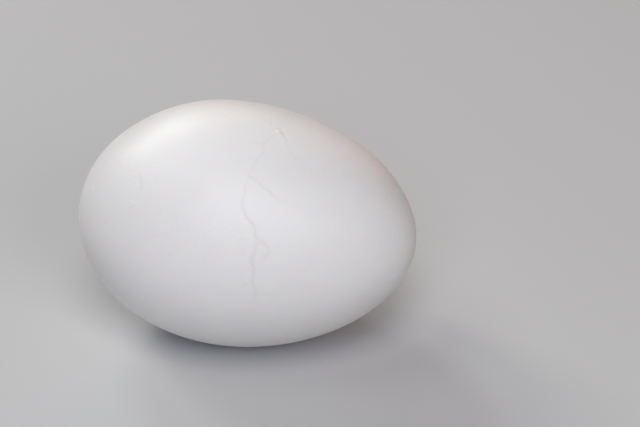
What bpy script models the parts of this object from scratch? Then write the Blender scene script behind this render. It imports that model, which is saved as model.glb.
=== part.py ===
"""A whole hard-boiled hen's egg in its shell, lying on its side.

Metres, +Z up. The origin is the centre of the small flat spot that the egg rests on. The long axis lies in
the XZ plane with the pointed end towards +X, tipped down a little, the way an egg of this shape balances.
"""

import math

import bpy
from mathutils import Euler, Vector

LENGTH = 0.060
MIDDLE_WIDTH = 0.0434
# How far the outline leaves an ellipse: the first value draws in the pointed end and fills out the blunt
# one, which puts the widest ring, 43.5 mm, a little behind the middle. The second draws in both ends.
TAPER = -0.0712
END_TAPER = -0.0196
RESTING_SPOT_DEPTH = 0.00058

STEPS_ALONG = 68
STEPS_AROUND = 56
DISCS = 2000
MERGE_DISTANCE = 0.00001
CUTTER_SIZE = 0.020

SHELL_WHITE = (0.82, 0.81, 0.80, 1.0)
SHELL_ROUGHNESS = 0.45


def clear_scene():
    for item in list(bpy.data.objects):
        bpy.data.objects.remove(item, do_unlink=True)


def new_collection(name):
    collection = bpy.data.collections.new(name)
    bpy.context.scene.collection.children.link(collection)
    return collection


def outline(turn):
    """Place along the axis and radius there, for a turn from 0 at the pointed tip to pi at the blunt end."""
    along = math.cos(turn)
    fullness = 1 + TAPER * along + END_TAPER * along**2
    return LENGTH / 2 * along, MIDDLE_WIDTH / 2 * math.sin(turn) * fullness


def centre_of_mass():
    """Place along the axis of the centre of mass, summed over thin discs."""
    volume = 0.0
    moment = 0.0
    for disc in range(DISCS):
        along, radius = outline(math.pi * (disc + 0.5) / DISCS)
        near = outline(math.pi * disc / DISCS)[0]
        far = outline(math.pi * (disc + 1) / DISCS)[0]
        disc_volume = (near - far) * radius**2
        volume += disc_volume
        moment += disc_volume * along
    return moment / volume


def balance():
    """The lowest point of the outline and the tilt, for an egg at rest.

    A round body comes to rest on the point of its belly that is nearest to its centre of mass.
    """
    centre = Vector((centre_of_mass(), 0.0))
    points = [Vector(outline(math.pi * disc / DISCS)) for disc in range(DISCS + 1)]
    lowest = min(points, key=lambda point: (point - centre).length)
    tilt = math.atan2(lowest.x - centre.x, lowest.y)
    return lowest, tilt


def shell_material():
    material = bpy.data.materials.new("eggshell")
    material.use_nodes = True
    shader = material.node_tree.nodes["Principled BSDF"]
    shader.inputs["Base Color"].default_value = SHELL_WHITE
    shader.inputs["Roughness"].default_value = SHELL_ROUGHNESS
    shader.inputs["Metallic"].default_value = 0.0
    material.diffuse_color = SHELL_WHITE
    return material


def half_outline_mesh():
    """The outline from the pointed tip to the blunt end, in the XZ plane with the pointed tip up."""
    points = []
    for step in range(STEPS_ALONG + 1):
        along, radius = outline(math.pi * step / STEPS_ALONG)
        points.append((radius, 0.0, along))
    points[0] = (0.0, 0.0, LENGTH / 2)
    points[-1] = (0.0, 0.0, -LENGTH / 2)
    edges = [(step, step + 1) for step in range(STEPS_ALONG)]
    mesh = bpy.data.meshes.new("egg")
    mesh.from_pydata(points, edges, [])
    return mesh


def turned_egg(collection):
    """The outline turned about the long axis, tipped to its balance over the resting spot."""
    lowest, tilt = balance()
    egg = bpy.data.objects.new("egg", half_outline_mesh())
    collection.objects.link(egg)
    egg.data.materials.append(shell_material())
    egg.rotation_euler = Euler((0.0, math.pi / 2 + tilt, 0.0))
    lowest_point = Vector((lowest.y, 0.0, lowest.x))
    lowest_point.rotate(egg.rotation_euler)
    egg.location = Vector((0.0, 0.0, -RESTING_SPOT_DEPTH)) - lowest_point

    turning = egg.modifiers.new("turning", "SCREW")
    turning.axis = "Z"
    turning.angle = 2 * math.pi
    turning.steps = STEPS_AROUND
    turning.render_steps = STEPS_AROUND
    turning.use_merge_vertices = True
    turning.merge_threshold = MERGE_DISTANCE
    turning.use_smooth_shade = True
    return egg


def cut_resting_spot(egg, collection):
    """Take off the lowest sliver of the belly, which leaves a level oval about 13.5 mm by 10 mm."""
    bpy.ops.mesh.primitive_cube_add(size=CUTTER_SIZE, location=(0.0, 0.0, -CUTTER_SIZE / 2))
    cutter = bpy.context.active_object
    cutter.name = "resting_spot_cutter"
    for owner in list(cutter.users_collection):
        owner.objects.unlink(cutter)
    collection.objects.link(cutter)
    cutter.hide_render = True
    cutter.display_type = "WIRE"

    cut = egg.modifiers.new("resting_spot", "BOOLEAN")
    cut.operation = "DIFFERENCE"
    cut.object = cutter


def main():
    clear_scene()
    egg = turned_egg(new_collection("hard_boiled_egg"))
    cut_resting_spot(egg, new_collection("cutters"))


main()
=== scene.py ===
"""A hard-boiled hen's egg in its white shell, cracked at one small chip, on a plain pale floor.

Metres, +Z up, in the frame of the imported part: the origin is the middle of the flat that the egg rests on,
and the pointed end lies towards +X. Photo coordinates are pixels of the 640 by 427 picture.
"""

import math
import random

import bmesh
import bpy
from mathutils import Matrix, Vector, noise
from mathutils.bvhtree import BVHTree
from mathutils.kdtree import KDTree


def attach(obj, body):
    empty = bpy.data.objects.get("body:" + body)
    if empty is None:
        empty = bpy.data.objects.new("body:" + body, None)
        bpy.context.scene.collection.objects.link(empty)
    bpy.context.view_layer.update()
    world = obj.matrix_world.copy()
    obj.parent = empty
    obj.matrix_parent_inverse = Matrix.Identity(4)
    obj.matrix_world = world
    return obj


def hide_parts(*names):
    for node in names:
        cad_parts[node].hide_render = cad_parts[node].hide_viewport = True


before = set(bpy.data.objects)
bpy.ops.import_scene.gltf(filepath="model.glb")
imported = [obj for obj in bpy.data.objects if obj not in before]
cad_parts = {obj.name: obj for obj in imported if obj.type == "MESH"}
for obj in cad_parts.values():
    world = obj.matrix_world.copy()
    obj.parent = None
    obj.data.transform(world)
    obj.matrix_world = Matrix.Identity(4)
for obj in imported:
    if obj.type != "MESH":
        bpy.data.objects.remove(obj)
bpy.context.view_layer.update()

MM = 0.001

# The shell's outline, with the values of the part.
LENGTH = 60.0 * MM
MIDDLE_WIDTH = 43.4 * MM
TAPER = -0.0712
END_TAPER = -0.0196
RESTING_SPOT_DEPTH = 0.58 * MM
DISCS = 2000
# Rounds in which a direction from the egg's middle settles on its turn of the outline.
SETTLING_ROUNDS = 3

# The camera, found from the egg's outline in the photo.
PHOTO_WIDTH = 640
PHOTO_HEIGHT = 427
LENS_MM = 120.0
SENSOR_MM = 36.0
CAMERA_AZIMUTH = math.radians(6.98)
CAMERA_ELEVATION = math.radians(30.0)
CAMERA_DISTANCE = 378.5 * MM
AIM_RIGHT = math.radians(1.944)
AIM_UP = math.radians(0.307)
NEAREST_SEEN = 0.01
FARTHEST_SEEN = 20.0

# The mesh: quads of about 0.6 mm, halved again and again towards a crack or a mark.
RINGS = 130
STEPS_AROUND = 216
REFINED_BANDS = (1.5 * MM, 0.8 * MM, 0.42 * MM, 0.2 * MM)
WELD_DISTANCE = 0.001 * MM
# Points this near to each other are joined after the level cut, so that it leaves no slivers.
CUT_WELD = 0.005 * MM

# Between the points given for it, a crack's line is bent aside again and again, into short crooked
# stretches, and its strength varies a little.
CRACK_STEP = 0.05 * MM
CRACK_CROOKEDNESS = 0.13
CRACK_VARIATION = (0.8, 1.2)
# The points either way from which a crack's direction is read.
DIRECTION_SPAN = 2
# A crack of strength 1: its groove, its two edges, one raised and the other sunk a little, and how much
# it darkens the shell, along its line and as a soft damp band beside it.
CRACK_HALF_WIDTH = 0.06 * MM
CRACK_DEPTH = 0.03 * MM
EDGE_STEP = 0.006 * MM
EDGE_LIFT = 0.4
EDGE_REACH = 0.5 * MM
LINE_STAIN = 0.06
LINE_HALF_WIDTH = 0.16 * MM
BAND_STAIN = 0.05
BAND_HALF_WIDTH = 0.36 * MM
CRACK_REACH = 1.4 * MM
CRACK_SEED = 41

# The cracks, from root to tip: photo coordinates, and the crack's strength there.
CRACKS = {
    "chip_edge": (
        (279.6, 129.2, 0.7), (280.9, 131, 1.1), (281.9, 132.8, 1.2), (282.9, 134.8, 0.9), (284.2, 137, 0.6),
    ),
    "flake_edge": (
        (279.6, 129.2, 0.5), (278.2, 128, 0.6), (275.2, 128.2, 0.6), (273.8, 131, 0.5), (274.8, 133.4, 0.4),
        (277.8, 134, 0.7), (279, 132, 0.3),
    ),
    "right_of_chip": (
        (284.2, 137, 0.65), (285.6, 140.5, 0.4), (287.4, 145.5, 0.45), (289.6, 149.4, 0.3),
        (291.5, 153.8, 0.3), (296.5, 158, 0.45),
    ),
    "below_chip": (
        (276, 133.5, 0.25), (269.8, 136.3, 0.5), (264.8, 141.5, 0.5), (261.8, 145, 0.55), (262, 153.3, 0.6),
        (257.1, 158, 0.5), (253.4, 163, 0.4), (253.7, 167, 0.3), (248.5, 173.5, 0.4),
    ),
    "slanting": (
        (248.5, 173.5, 0.5), (249.5, 176, 0.7), (253.7, 178.2, 0.5), (260.1, 184.4, 0.65),
        (264.6, 187.7, 0.55), (269.8, 192, 1.0), (272.6, 194.9, 0.7), (277.9, 198.8, 0.35),
        (284, 201.5, 0.25), (288.2, 204, 0.35), (294, 206.4, 0.3), (303, 206.8, 0.15),
    ),
    "long_upper": (
        (248.5, 173.5, 0.3), (247, 178, 0.25), (244, 186, 0.5), (244.3, 191, 0.6), (243.4, 195, 0.5),
        (241.5, 201, 0.7), (241.5, 205.5, 0.75), (244.8, 214.4, 1.0), (247.6, 218.8, 0.9),
        (251.5, 222.7, 1.1), (253.7, 226, 0.9), (254.5, 230.5, 1.0), (254.2, 235.5, 1.0), (254.6, 238, 0.6),
    ),
    "long_lower": (
        (254.6, 238, 0.55), (254.6, 246, 0.6), (253.8, 252, 0.8), (252.2, 255.5, 0.9), (251.2, 261.5, 1.05),
        (252.5, 264.8, 0.95), (252.8, 272.5, 0.95), (252, 280.2, 0.9), (253, 286, 0.65), (254.8, 293, 0.8),
        (253.8, 299.5, 0.4), (251.8, 304, 0.1),
    ),
    "fork": (
        (254.3, 236, 0.7), (257.2, 237.8, 0.6), (259.8, 240.8, 0.75), (263.5, 243.8, 0.5),
        (267.3, 247.8, 0.6), (267.6, 253, 0.75), (264.3, 257.5, 0.9),
    ),
    "arch": ((254.6, 246, 0.4), (257, 243.4, 0.55), (261, 242.2, 0.4)),
    "left_spur": ((251.5, 281.5, 0.5), (245.8, 284, 0.6), (240.5, 286.3, 0.45)),
    "right_spur": ((254.8, 294, 0.6), (260, 294.6, 0.4), (272, 295, 0.35), (287, 295, 0.25)),
    "upper_left_spur": ((264.8, 141.8, 0.4), (260, 142, 0.35), (255, 142, 0.4)),
    "middle_left_spur": ((257.1, 158, 0.4), (252, 158.4, 0.3), (248, 158.6, 0.3)),
    "scuff": ((140, 175.5, 0.5), (140.4, 183, 0.6), (140.8, 191, 0.35)),
}

# Single marks on the shell: photo coordinates, radius and height in millimetres, stain or painted shade, and
# painted highlight.
MARKS = (
    # The chip: a raised flake whitened with painted highlight, its pit darkened with painted shadow, and its
    # ridges and specks whitened with painted highlight.
    ((276.8, 131.0), 0.30, 0.07, 0.0, 1.0),
    ((281.9, 132.6), 0.34, -0.04, 0.10, 0.0),
    ((287.0, 135.4), 0.22, 0.03, 0.0, 0.5),
    ((272.6, 134.0), 0.20, 0.01, 0.0, 0.3),
    ((284.2, 130.6), 0.24, 0.02, 0.0, 0.25),
    ((285.8, 132.8), 0.22, 0.02, 0.0, 0.25),
    ((278.2, 134.6), 0.18, 0.02, 0.0, 0.4),
    # Painted highlights beside the long crack.
    ((240.8, 216.2), 0.30, 0.01, 0.0, 0.25),
    ((246.0, 222.0), 0.30, 0.01, 0.0, 0.25),
    ((247.8, 235.3), 0.25, 0.01, 0.0, 0.25),
    ((260.0, 247.0), 0.35, 0.01, 0.0, 0.25),
    ((270.6, 122.8), 0.22, -0.02, 0.10, 0.0),
    ((264.2, 120.0), 0.20, -0.02, 0.08, 0.0),
    ((264.4, 127.0), 0.16, -0.02, 0.06, 0.0),
    ((168.6, 254.3), 0.30, -0.03, 0.08, 0.0),
    # A small bump whitened with painted highlight, and the dent below it darkened with painted shade.
    ((133.5, 203.2), 0.30, 0.02, 0.0, 0.25),
    ((132.5, 206.8), 0.30, -0.02, 0.05, 0.0),
    # The scuff's lighter side, a grain by the left edge, a scratch and specks by the lower rim, whitened
    # with painted highlight.
    ((136.5, 184.6), 0.26, 0.02, 0.0, 0.3),
    ((92.6, 187.6), 0.24, 0.06, 0.0, 1.0),
    ((152.5, 291.5), 0.40, 0.02, 0.0, 0.2),
    ((187.8, 329.2), 0.30, 0.05, 0.0, 0.4),
    ((206.5, 337.4), 0.26, 0.05, 0.0, 0.6),
    ((229.0, 340.0), 0.24, 0.05, 0.0, 0.5),
    ((387.8, 288.6), 0.28, 0.05, 0.0, 0.4),
    ((393.3, 275.0), 0.30, 0.05, 0.0, 0.5),
    ((402.6, 266.0), 0.26, 0.06, 0.0, 0.6),
)

# Where the shell swells or sinks a little from its even outline: millimetres along the axis, degrees
# round it, reach and height in millimetres. All over, it is uneven by a little more.
SWELLS = (
    (-21.4, -5, 5.0, -0.20),
    (-10.0, -22, 6.0, 0.17),
    (5.5, -20, 6.0, -0.12),
    (22.0, -20, 5.0, 0.12),
    (26.8, 0, 4.0, -0.16),
    (24.0, 128, 7.0, -0.12),
    (10.0, 138, 8.0, -0.08),
    (-12.0, 130, 9.0, -0.12),
    (-25.0, 118, 6.0, -0.12),
    (-6.0, -100, 9.0, 0.10),
    (14.0, -75, 8.0, -0.10),
)
UNEVEN_HEIGHT = 0.03 * MM
UNEVEN_SIZE = 9.0 * MM

# Small chalky grains that stand on the shell here and there.
GRAIN_COUNT = 46
GRAIN_RADIUS = (0.10 * MM, 0.22 * MM)
GRAIN_HEIGHT = (0.006 * MM, 0.020 * MM)
GRAIN_SEED = 7

# The shell's colours: its white in faint clouds, the damp skin in a crack (also used for painted shade), and
# a painted highlight.
SHELL_WHITE = "#ebe9e7"
SHELL_DIM_WHITE = "#e7e5e3"
CRACK_GREY_AND_SHADE = "#8e8966"
PAINTED_HIGHLIGHT_WHITE = "#f8f7f5"
CLOUD_SIZE = 5.0 * MM
CLOUD_DETAIL = 4.0
CLOUD_ROUGHNESS = 0.55

# The shell's finish. Light shines a little way into it, red light furthest.
SHELL_ROUGHNESS = 0.45
ROUGHNESS_SPREAD = 0.03
SHELL_IOR = 1.5
SEE_THROUGH = 0.3
LIGHT_DEPTH = 1.5 * MM
LIGHT_REACH = (1.0, 0.6, 0.4)
# Its real pores are about 0.1 mm across and too fine to show, so they are drawn coarser.
PORE_SPACING = 0.5 * MM
PORE_SOFTNESS = 0.6
PORE_DEPTH = 0.02 * MM

# The studio. The floor ends where the lamps stop lighting it evenly.
FLOOR_HALF_SIZE = 1.2
FLOOR_GREY = "#c0c0c0"
PAPER_ROUGHNESS = 0.9
WALL_GREY = "#b8b8b8"
WALL_LIGHT = 0.01

# Soft round studio lamps, one metre away: azimuth and elevation in degrees, size in metres, colour, watts.
LAMP_DISTANCE = 1.0
LAMPS = (
    ("front", -3, 36, 0.5, "#e4eaff", 3.35),
    ("front_right", 35, 30, 0.5, "#fffdfb", 2.25),
    ("above", 7, 60, 0.5, "#fffdfb", 3.15),
    ("left", 277, 60, 0.5, "#fffdfb", 1.25),
    ("behind_right", 190, 30, 0.3, "#ffeed0", 0.6),
    ("behind", 212, 36, 0.3, "#f8feff", 2.36),
    ("behind_left", 236, 36, 0.3, "#fffdf8", 2.3),
    ("warm_right", 150, 15, 0.5, "#ff6f5c", 0.6),
)


def linear(hex_colour):
    """An sRGB colour such as "#f0f0f0" as linear red, green, blue and alpha."""
    channels = [int(hex_colour[start:start + 2], 16) / 255 for start in (1, 3, 5)]
    return [c / 12.92 if c <= 0.04045 else ((c + 0.055) / 1.055) ** 2.4 for c in channels] + [1.0]


def fullness(along):
    """How full the outline is beside an ellipse, from -1 at the blunt end to 1 at the pointed tip."""
    return 1 + TAPER * along + END_TAPER * along**2


def outline(turn):
    """Place along the axis and radius, for a turn from 0 at the pointed tip to pi at the blunt end."""
    along = math.cos(turn)
    return LENGTH / 2 * along, MIDDLE_WIDTH / 2 * math.sin(turn) * fullness(along)


def resting_place():
    """The matrix that lays an egg, modelled upright about its middle, on its side where it balances."""
    discs = [outline(math.pi * (disc + 0.5) / DISCS) for disc in range(DISCS)]
    edges = [outline(math.pi * disc / DISCS)[0] for disc in range(DISCS + 1)]
    volumes = [(edges[i] - edges[i + 1]) * discs[i][1] ** 2 for i in range(DISCS)]
    centre = sum(volume * disc[0] for volume, disc in zip(volumes, discs)) / sum(volumes)
    lowest = min(discs, key=lambda disc: math.hypot(disc[0] - centre, disc[1]))
    tilt = math.atan2(lowest[0] - centre, lowest[1])
    turned = Matrix.Rotation(math.pi / 2 + tilt, 4, "Y")
    touching = turned @ Vector((lowest[1], 0.0, lowest[0]))
    return Matrix.Translation(Vector((0.0, 0.0, -RESTING_SPOT_DEPTH)) - touching) @ turned


PLACE = resting_place()
PLACE_BACK = PLACE.inverted()
EGG_MIDDLE = PLACE.to_translation()


def on_shell(point):
    """The point of the smooth shell on the line from the egg's middle through a point near it."""
    near = PLACE_BACK @ point
    radius = math.hypot(near.x, near.y)
    turn = math.atan2(radius / MIDDLE_WIDTH, near.z / LENGTH)
    for _ in range(SETTLING_ROUNDS):
        turn = math.atan2(radius / (MIDDLE_WIDTH * fullness(math.cos(turn))), near.z / LENGTH)
    return PLACE @ (near * (math.hypot(*outline(turn)) / near.length))


def shell_point(along_mm, around_degrees):
    """The point of the smooth shell that far along the axis and round it from the top."""
    radius = outline(math.acos(along_mm * MM / (LENGTH / 2)))[1]
    around = math.radians(around_degrees)
    return PLACE @ Vector((-radius * math.cos(around), -radius * math.sin(around), along_mm * MM))


def towards(azimuth, elevation):
    """The direction from the egg to something seen that far round from the front and that far up."""
    level = math.cos(elevation)
    return Vector((math.sin(azimuth) * level, -math.cos(azimuth) * level, math.sin(elevation)))


def looking_at_egg(back, distance):
    """The matrix of a camera or a lamp that stands that way from the egg and that far off, facing it."""
    turned = back.to_track_quat("Z", "Y").to_matrix().to_4x4()
    return Matrix.Translation(EGG_MIDDLE + back * distance) @ turned


def camera_matrix():
    """The camera on its side of the egg, aimed a little to the right of it and above it."""
    facing = looking_at_egg(towards(CAMERA_AZIMUTH, CAMERA_ELEVATION), CAMERA_DISTANCE)
    return facing @ Matrix.Rotation(-AIM_RIGHT, 4, "Y") @ Matrix.Rotation(AIM_UP, 4, "X")


def make_camera():
    data = bpy.data.cameras.new("camera")
    data.lens = LENS_MM
    data.sensor_width = SENSOR_MM
    data.clip_start = NEAREST_SEEN
    data.clip_end = FARTHEST_SEEN
    camera = bpy.data.objects.new("camera", data)
    camera.matrix_world = camera_matrix()
    bpy.context.scene.collection.objects.link(camera)
    bpy.context.scene.camera = camera


class PhotoPlacer:
    """Finds the point of the shell that a pixel of the photo shows."""

    def __init__(self, shell):
        self.tree = BVHTree.FromBMesh(shell)
        self.matrix = camera_matrix()

    def place(self, pixel):
        """The place on the shell of a pixel's middle, half a pixel on from its coordinates."""
        across = (pixel[0] + 0.5 - PHOTO_WIDTH / 2) / PHOTO_WIDTH * SENSOR_MM / LENS_MM
        down = (pixel[1] + 0.5 - PHOTO_HEIGHT / 2) / PHOTO_WIDTH * SENSOR_MM / LENS_MM
        eye = self.matrix.to_translation()
        ray = self.matrix.to_3x3() @ Vector((across, -down, -1.0))
        hit = self.tree.ray_cast(eye, ray.normalized())[0]
        return on_shell(hit)


def smooth_shell():
    """The outline turned about the long axis, laid where the egg rests."""
    shell = bmesh.new()
    points = [outline(math.pi * ring / RINGS) for ring in range(RINGS + 1)]
    verts = [shell.verts.new((radius, 0.0, along)) for along, radius in points]
    edges = [shell.edges.new(pair) for pair in zip(verts, verts[1:])]
    bmesh.ops.spin(
        shell,
        geom=verts + edges,
        cent=(0.0, 0.0, 0.0),
        axis=(0.0, 0.0, 1.0),
        angle=2 * math.pi,
        steps=STEPS_AROUND,
        use_merge=True,
    )
    bmesh.ops.remove_doubles(shell, verts=shell.verts, dist=WELD_DISTANCE)
    bmesh.ops.transform(shell, matrix=PLACE, verts=shell.verts)
    bmesh.ops.recalc_face_normals(shell, faces=shell.faces)
    return shell


def bent(start, end, chance):
    """The points of a line from start to end whose middle is pushed aside, again in each half."""
    stretch = end - start
    if stretch.length < CRACK_STEP:
        return [end]
    aside = stretch.cross(start - EGG_MIDDLE).normalized()
    push = chance.uniform(-CRACK_CROOKEDNESS, CRACK_CROOKEDNESS) * stretch.length
    middle = (start + end) / 2 + aside * push
    return bent(start, middle, chance) + bent(middle, end, chance)


class Crack:
    """A crooked break along the shell, through points that each have a strength."""

    def __init__(self, points, strengths, chance):
        self.line = [points[0]]
        self.strengths = [strengths[0]]
        for start, end, strength, next_strength in zip(points, points[1:], strengths, strengths[1:]):
            stretch = bent(start, end, chance)
            for step, point in enumerate(stretch, 1):
                self.line.append(on_shell(point))
                between = strength + (next_strength - strength) * step / len(stretch)
                self.strengths.append(between * chance.uniform(*CRACK_VARIATION))
        self.higher_side = chance.choice((-1, 1))
        self.tree = KDTree(len(self.line))
        for index, point in enumerate(self.line):
            self.tree.insert(point, index)
        self.tree.balance()

    def shape_at(self, point):
        """Depth of the groove, height of the edges and darkening at a point of the shell."""
        near, index, distance = self.tree.find(point)
        if distance > CRACK_REACH:
            return 0.0, 0.0, 0.0
        strength = self.strengths[index]
        next_point = self.line[min(index + DIRECTION_SPAN, len(self.line) - 1)]
        last_point = self.line[max(index - DIRECTION_SPAN, 0)]
        aside = (next_point - last_point).cross(point - EGG_MIDDLE).normalized()
        side = max(-1.0, min(1.0, (point - near).dot(aside) / CRACK_HALF_WIDTH)) * self.higher_side
        groove = strength * CRACK_DEPTH * math.exp(-((distance / CRACK_HALF_WIDTH) ** 2))
        edge = strength * EDGE_STEP * (side + EDGE_LIFT) * math.exp(-distance / EDGE_REACH)
        line = LINE_STAIN * math.exp(-((distance / LINE_HALF_WIDTH) ** 2))
        band = BAND_STAIN * math.exp(-((distance / BAND_HALF_WIDTH) ** 2))
        return groove, edge, strength * (line + band)


def all_cracks(placer):
    """The cracks of the photo, laid on the shell."""
    chance = random.Random(CRACK_SEED)
    cracks = []
    for points in CRACKS.values():
        placed = [placer.place(point[:2]) for point in points]
        cracks.append(Crack(placed, [point[2] for point in points], chance))
    return cracks


def all_marks(placer):
    """The marks of the photo and the scattered grains: place, radius, height, stain or painted shade, and
    painted highlight.
    """
    marks = []
    for pixel, radius_mm, height_mm, stain_and_shade, painted_highlight in MARKS:
        marks.append((placer.place(pixel), radius_mm * MM, height_mm * MM, stain_and_shade, painted_highlight))
    chance = random.Random(GRAIN_SEED)
    for _ in range(GRAIN_COUNT):
        direction = Vector([chance.gauss(0.0, 1.0) for _ in range(3)])
        place = on_shell(EGG_MIDDLE + direction * MIDDLE_WIDTH)
        marks.append((place, chance.uniform(*GRAIN_RADIUS), chance.uniform(*GRAIN_HEIGHT), 0.0, 0.0))
    return marks


def refine(shell, centres):
    """Halves the faces near a crack or a mark, in narrower and narrower bands."""
    tree = KDTree(len(centres))
    for index, centre in enumerate(centres):
        tree.insert(centre, index)
    tree.balance()
    for band in REFINED_BANDS:
        edges = set()
        for face in shell.faces:
            if len(face.verts) == 4 and tree.find(face.calc_center_median())[2] < band:
                edges.update(face.edges)
        made = bmesh.ops.subdivide_edges(shell, edges=list(edges), cuts=1, use_grid_fill=True)
        for item in made["geom_inner"] + made["geom_split"]:
            if isinstance(item, bmesh.types.BMVert):
                item.co = on_shell(item.co)


def shape_shell(shell, cracks, marks):
    """Gives the shell its swells, cracks and marks, and keeps its stain, painted shade and painted
    highlights as attributes.
    """
    stain_and_shade_layer = shell.verts.layers.float.new("stain_and_shade")
    painted_highlight_layer = shell.verts.layers.float.new("painted_highlight")
    swells = []
    for along_mm, around_degrees, reach_mm, height_mm in SWELLS:
        swells.append((shell_point(along_mm, around_degrees), reach_mm * MM, height_mm * MM))
    for vert in shell.verts:
        smooth = vert.co.copy()
        height = UNEVEN_HEIGHT * noise.noise(smooth / UNEVEN_SIZE)
        for centre, reach, swell in swells:
            height += swell * math.exp(-((smooth - centre).length_squared / reach**2))
        groove = edge = stain_and_shade = painted_highlight = 0.0
        for crack in cracks:
            its_groove, its_edge, its_stain_and_shade = crack.shape_at(smooth)
            groove = max(groove, its_groove)
            edge += its_edge
            stain_and_shade = max(stain_and_shade, its_stain_and_shade)
        # A mark adds its stain or painted shade, and its painted highlight.
        for centre, radius, rise, its_stain_and_shade, its_painted_highlight in marks:
            share = math.exp(-((smooth - centre).length_squared / radius**2))
            height += rise * share
            stain_and_shade += its_stain_and_shade * share
            painted_highlight += its_painted_highlight * share
        height += edge - groove
        outward = (smooth - EGG_MIDDLE).normalized()
        vert.co = smooth + outward * height
        vert[stain_and_shade_layer] = stain_and_shade
        vert[painted_highlight_layer] = min(painted_highlight, 1.0)


def finish_egg(shell):
    """The shell as an object in the scene, with its lowest sliver cut off level."""
    bmesh.ops.bisect_plane(
        shell,
        geom=shell.verts[:] + shell.edges[:] + shell.faces[:],
        plane_co=(0.0, 0.0, 0.0),
        plane_no=(0.0, 0.0, 1.0),
        clear_inner=True,
    )
    bmesh.ops.remove_doubles(shell, verts=shell.verts, dist=CUT_WELD)
    rim = [edge for edge in shell.edges if edge.is_boundary]
    for edge in rim:
        for vert in edge.verts:
            vert.co.z = 0.0
    resting_face = bmesh.ops.contextual_create(shell, geom=rim)["faces"]
    bmesh.ops.recalc_face_normals(shell, faces=shell.faces)
    for face in shell.faces:
        face.smooth = face not in resting_face
    mesh = bpy.data.meshes.new("eggshell")
    shell.to_mesh(mesh)
    shell.free()
    egg = bpy.data.objects.new("eggshell", mesh)
    bpy.context.scene.collection.objects.link(egg)
    return egg


def add_node(tree, kind, settings=None, inputs=None):
    """A new node; an input is given as its value, or as another node's output, which is linked to it."""
    node = tree.nodes.new(kind)
    for name, value in (settings or {}).items():
        setattr(node, name, value)
    for name, value in (inputs or {}).items():
        if isinstance(value, bpy.types.NodeSocket):
            tree.links.new(value, node.inputs[name])
        else:
            node.inputs[name].default_value = value
    return node


def bare_eggshell():
    """Calcite eggshell as laid and boiled, unglazed: satin, faintly see-through, with fine pores.

    To the eye it is an even cool white with a soft highlight, a little warmer where light shines into it,
    and a yellowish grey along a crack, where the damp skin below shows through.
    """
    material = bpy.data.materials.new("bare_eggshell")
    material.use_nodes = True
    tree = material.node_tree
    shader = tree.nodes["Principled BSDF"]
    place = add_node(tree, "ShaderNodeTexCoord").outputs["Object"]

    clouds = add_node(
        tree, "ShaderNodeTexNoise",
        inputs={
            "Vector": place,
            "Scale": 1 / CLOUD_SIZE,
            "Detail": CLOUD_DETAIL,
            "Roughness": CLOUD_ROUGHNESS,
        },
    )
    white = add_node(
        tree, "ShaderNodeMix", {"data_type": "RGBA"},
        {"Factor": clouds.outputs["Fac"], "A": linear(SHELL_DIM_WHITE), "B": linear(SHELL_WHITE)},
    )
    # The stain along a crack, and painted shade at the chip's pit and under a small bump.
    stain_and_shade = add_node(tree, "ShaderNodeAttribute", {"attribute_name": "stain_and_shade"}).outputs["Fac"]
    stained_and_shaded = add_node(
        tree, "ShaderNodeMix", {"data_type": "RGBA"},
        {"Factor": stain_and_shade, "A": white.outputs["Result"], "B": linear(CRACK_GREY_AND_SHADE)},
    )
    # Painted highlights that whiten small bumps, ridges and specks.
    painted_highlight = add_node(tree, "ShaderNodeAttribute", {"attribute_name": "painted_highlight"}).outputs["Fac"]
    colour = add_node(
        tree, "ShaderNodeMix", {"data_type": "RGBA"},
        {"Factor": painted_highlight, "A": stained_and_shaded.outputs["Result"], "B": linear(PAINTED_HIGHLIGHT_WHITE)},
    )
    tree.links.new(colour.outputs["Result"], shader.inputs["Base Color"])

    satin = add_node(
        tree, "ShaderNodeMapRange",
        inputs={
            "Value": clouds.outputs["Fac"],
            "To Min": SHELL_ROUGHNESS - ROUGHNESS_SPREAD,
            "To Max": SHELL_ROUGHNESS + ROUGHNESS_SPREAD,
        },
    )
    tree.links.new(satin.outputs["Result"], shader.inputs["Roughness"])

    pores = add_node(
        tree, "ShaderNodeTexVoronoi", {"feature": "SMOOTH_F1"},
        {"Vector": place, "Scale": 1 / PORE_SPACING, "Smoothness": PORE_SOFTNESS},
    )
    pore_relief = add_node(
        tree, "ShaderNodeBump",
        inputs={"Height": pores.outputs["Distance"], "Strength": 1.0, "Distance": PORE_DEPTH},
    )
    tree.links.new(pore_relief.outputs["Normal"], shader.inputs["Normal"])

    shader.inputs["IOR"].default_value = SHELL_IOR
    shader.inputs["Subsurface Weight"].default_value = SEE_THROUGH
    shader.inputs["Subsurface Radius"].default_value = LIGHT_REACH
    shader.inputs["Subsurface Scale"].default_value = LIGHT_DEPTH
    return material


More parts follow.
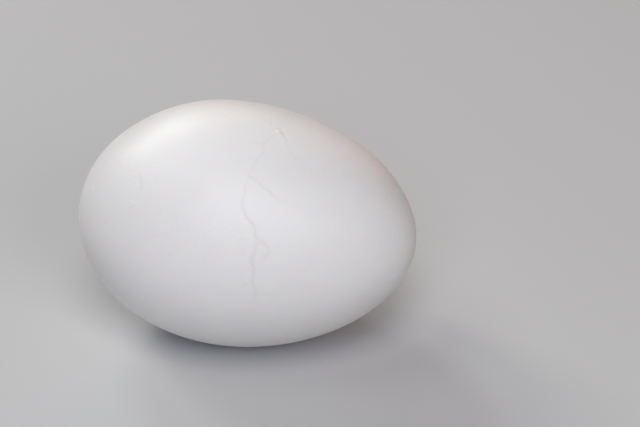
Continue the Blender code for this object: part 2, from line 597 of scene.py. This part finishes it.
def make_lights():
    for name, azimuth, elevation, size, colour, watts in LAMPS:
        data = bpy.data.lights.new(name, "AREA")
        data.shape = "DISK"
        data.size = size
        data.color = linear(colour)[:3]
        data.energy = watts
        lamp = bpy.data.objects.new(name, data)
        back = towards(math.radians(azimuth), math.radians(elevation))
        lamp.matrix_world = looking_at_egg(back, LAMP_DISTANCE)
        lamp.visible_camera = False
        bpy.context.scene.collection.objects.link(lamp)


def matte_studio_paper():
    """Uncoated paper off a roll, which shows the egg's soft shadow and no reflection of it."""
    material = bpy.data.materials.new("matte_studio_paper")
    material.use_nodes = True
    shader = material.node_tree.nodes["Principled BSDF"]
    shader.inputs["Base Color"].default_value = linear(FLOOR_GREY)
    shader.inputs["Roughness"].default_value = PAPER_ROUGHNESS
    return material


def make_floor():
    shape = bmesh.new()
    bmesh.ops.create_grid(shape, x_segments=1, y_segments=1, size=FLOOR_HALF_SIZE)
    mesh = bpy.data.meshes.new("floor")
    shape.to_mesh(mesh)
    shape.free()
    mesh.materials.append(matte_studio_paper())
    floor = bpy.data.objects.new("floor", mesh)
    bpy.context.scene.collection.objects.link(floor)


def make_world():
    """Pale studio walls, seen above the floor's far edge, that hardly light the egg."""
    world = bpy.data.worlds.new("studio")
    world.use_nodes = True
    tree = world.node_tree
    seen = add_node(tree, "ShaderNodeLightPath").outputs["Is Camera Ray"]
    strength = add_node(
        tree, "ShaderNodeMapRange",
        inputs={"Value": seen, "To Min": WALL_LIGHT, "To Max": 1.0},
    )
    background = tree.nodes["Background"]
    background.inputs["Color"].default_value = linear(WALL_GREY)
    tree.links.new(strength.outputs["Result"], background.inputs["Strength"])
    bpy.context.scene.world = world


def main():
    make_camera()
    shell = smooth_shell()
    placer = PhotoPlacer(shell)
    cracks = all_cracks(placer)
    marks = all_marks(placer)
    crack_points = [point for crack in cracks for point in crack.line]
    mark_points = [mark[0] for mark in marks]
    refine(shell, crack_points + mark_points)
    shape_shell(shell, cracks, marks)
    egg = finish_egg(shell)
    egg.data.materials.append(bare_eggshell())
    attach(egg, "root")
    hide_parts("egg")
    make_lights()
    make_floor()
    make_world()
    bpy.context.scene.view_settings.view_transform = "Standard"


main()
